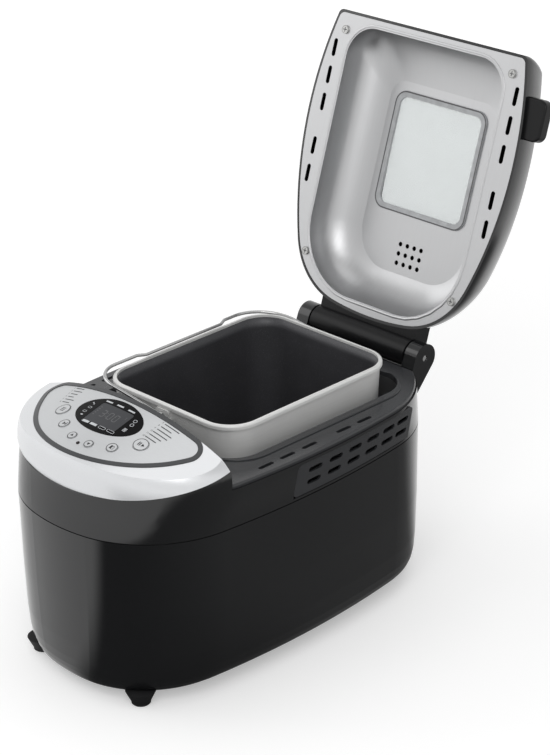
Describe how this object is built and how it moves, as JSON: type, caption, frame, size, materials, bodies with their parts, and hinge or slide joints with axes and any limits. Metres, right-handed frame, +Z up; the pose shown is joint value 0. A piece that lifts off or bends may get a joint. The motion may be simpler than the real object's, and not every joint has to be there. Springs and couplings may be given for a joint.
{
  "type": "bread machine",
  "caption": "Long bread machine with a crowned control panel, a deck round the oven and removable pan, and a domed lid with a window, shown open on its rear hinge.",
  "frame": {"origin": "middle of the open machine's bounding box seen from above, on the ground under the feet", "axes": "+Z up, -Y the control panel end, +Y the hinge end, +X the side with the lid's finger grip"},
  "size_m": [0.2696, 0.5086, 0.4822],
  "materials": {
    "gloss_black": "deep gloss",
    "satin_black": "satin, moulded",
    "silver_trim": "satin silver",
    "brushed_plate": "fine brushed",
    "dark_bezel": "satin dark grey",
    "display_black": "gloss",
    "lcd_grey": "unlit display",
    "led_red": "unlit lens",
    "foot_rubber": "matt",
    "seal_rubber": "matt",
    "satin_aluminium": "satin pressed sheet",
    "clear_glass": "clear",
    "zinc_screw": "zinc plated",
    "oven_steel": "aluminised sheet",
    "element_sheath": "oxidised sheath",
    "pan_aluminium": "satin outside, dark coating inside",
    "bronze_bush": "turned",
    "chrome_wire": "polished",
    "shaft_steel": "ground",
    "dark_nonstick": "non-stick coating",
    "driver_zinc": "die cast",
    "pulley_plastic": "moulded",
    "belt_rubber": "ribbed",
    "chassis_steel": "zinc plated sheet",
    "board_green": "coated laminate"
  },
  "bodies": {
    "base": {"lower_housing": "gloss_black", "base_plate": "satin_black", "cable_gland": "satin_black", "foot_front_left": "foot_rubber", "foot_rear_left": "foot_rubber", "foot_front_right": "foot_rubber", "foot_rear_right": "foot_rubber", "upper_housing": "gloss_black", "vent_grille_left": "satin_black", "vent_grille_right": "satin_black", "hinge_pin": "shaft_steel", "panel_trim": "silver_trim", "panel_bezel": "dark_bezel", "control_panel": "brushed_plate", "display_window": "display_black", "lcd_screen": "lcd_grey", "status_led": "led_red", "control_board": "board_green", "deck": "satin_black", "oven_liner": "oven_steel", "heating_element": "element_sheath", "element_stand_left": "oven_steel", "element_stand_right": "oven_steel", "temperature_sensor": "element_sheath", "pan_seat": "oven_steel", "drive_belt": "belt_rubber", "chassis": "chassis_steel", "bearing_housing": "bronze_bush", "motor": "chassis_steel", "power_board": "board_green"},
    "pan": {"bread_pan": "pan_aluminium", "pan_ears": "pan_aluminium", "pan_base": "pan_aluminium", "pan_bush": "bronze_bush"},
    "handle": {"pan_handle": "chrome_wire"},
    "paddle": {"paddle_shaft": "shaft_steel", "kneading_paddle": "dark_nonstick"},
    "drive": {"drive_shaft": "shaft_steel", "driver": "driver_zinc", "drive_pulley": "pulley_plastic"},
    "rotor": {"motor_pulley": "pulley_plastic"},
    "lid": {"lid_shell": "gloss_black", "lid_liner": "satin_aluminium", "inner_glass": "clear_glass", "window_gasket": "seal_rubber", "window_frame": "satin_black", "outer_window": "clear_glass", "lid_screw_1": "zinc_screw", "lid_screw_2": "zinc_screw", "lid_screw_3": "zinc_screw", "lid_screw_4": "zinc_screw", "lid_grip": "satin_black", "hinge_block": "satin_black"},
    "start_key": {"key_start": "brushed_plate"},
    "menu_key": {"key_menu": "brushed_plate"},
    "up_key": {"key_up": "brushed_plate"},
    "down_key": {"key_down": "brushed_plate"},
    "colour_key": {"key_colour": "brushed_plate"},
    "stop_key": {"key_stop": "brushed_plate"}
  },
  "joints": [
    {"name": "lid_hinge", "type": "hinge", "parent": "base", "child": "lid", "pos_m": [-0.00822, 0.12633, 0.2097], "axis": [-1, 0, 0], "range_deg": [-108.55, 0]},
    {"name": "pan_lift", "type": "slide", "parent": "base", "child": "pan", "axis": [0, 0, 1], "range_m": [0, 0.24]},
    {"name": "handle_swing", "type": "hinge", "parent": "pan", "child": "handle", "pos_m": [-0.00822, -0.02467, 0.22], "axis": [0, 1, 0], "range_deg": [0, 165.7]},
    {"name": "drive_spin", "type": "hinge", "parent": "base", "child": "drive", "pos_m": [-0.00822, -0.02467, 0.04], "axis": [0, 0, 1], "continuous": true},
    {"name": "motor_spin", "type": "hinge", "parent": "base", "child": "rotor", "pos_m": [-0.00822, -0.19467, 0.04], "axis": [0, 0, 1], "continuous": true},
    {"name": "paddle_spin", "type": "hinge", "parent": "pan", "child": "paddle", "pos_m": [-0.00822, -0.02467, 0.09], "axis": [0, 0, 1], "continuous": true},
    {"name": "start_press", "type": "slide", "parent": "base", "child": "start_key", "axis": [0, -0.2571, 0.9664], "range_m": [-0.0008, 0], "stiffness_N_per_m": 400, "springref_m": 0.001},
    {"name": "menu_press", "type": "slide", "parent": "base", "child": "menu_key", "axis": [0, -0.2571, 0.9664], "range_m": [-0.0008, 0], "stiffness_N_per_m": 400, "springref_m": 0.001},
    {"name": "up_press", "type": "slide", "parent": "base", "child": "up_key", "axis": [0, -0.2571, 0.9664], "range_m": [-0.0008, 0], "stiffness_N_per_m": 400, "springref_m": 0.001},
    {"name": "down_press", "type": "slide", "parent": "base", "child": "down_key", "axis": [0, -0.2571, 0.9664], "range_m": [-0.0008, 0], "stiffness_N_per_m": 400, "springref_m": 0.001},
    {"name": "colour_press", "type": "slide", "parent": "base", "child": "colour_key", "axis": [0, -0.2571, 0.9664], "range_m": [-0.0008, 0], "stiffness_N_per_m": 400, "springref_m": 0.001},
    {"name": "stop_press", "type": "slide", "parent": "base", "child": "stop_key", "axis": [0, -0.2571, 0.9664], "range_m": [-0.0008, 0], "stiffness_N_per_m": 400, "springref_m": 0.001}
  ],
  "couplings": [
    {"joint": "motor_spin", "follows": "drive_spin", "ratio": 7.5},
    {"joint": "paddle_spin", "follows": "drive_spin", "ratio": 1}
  ]
}
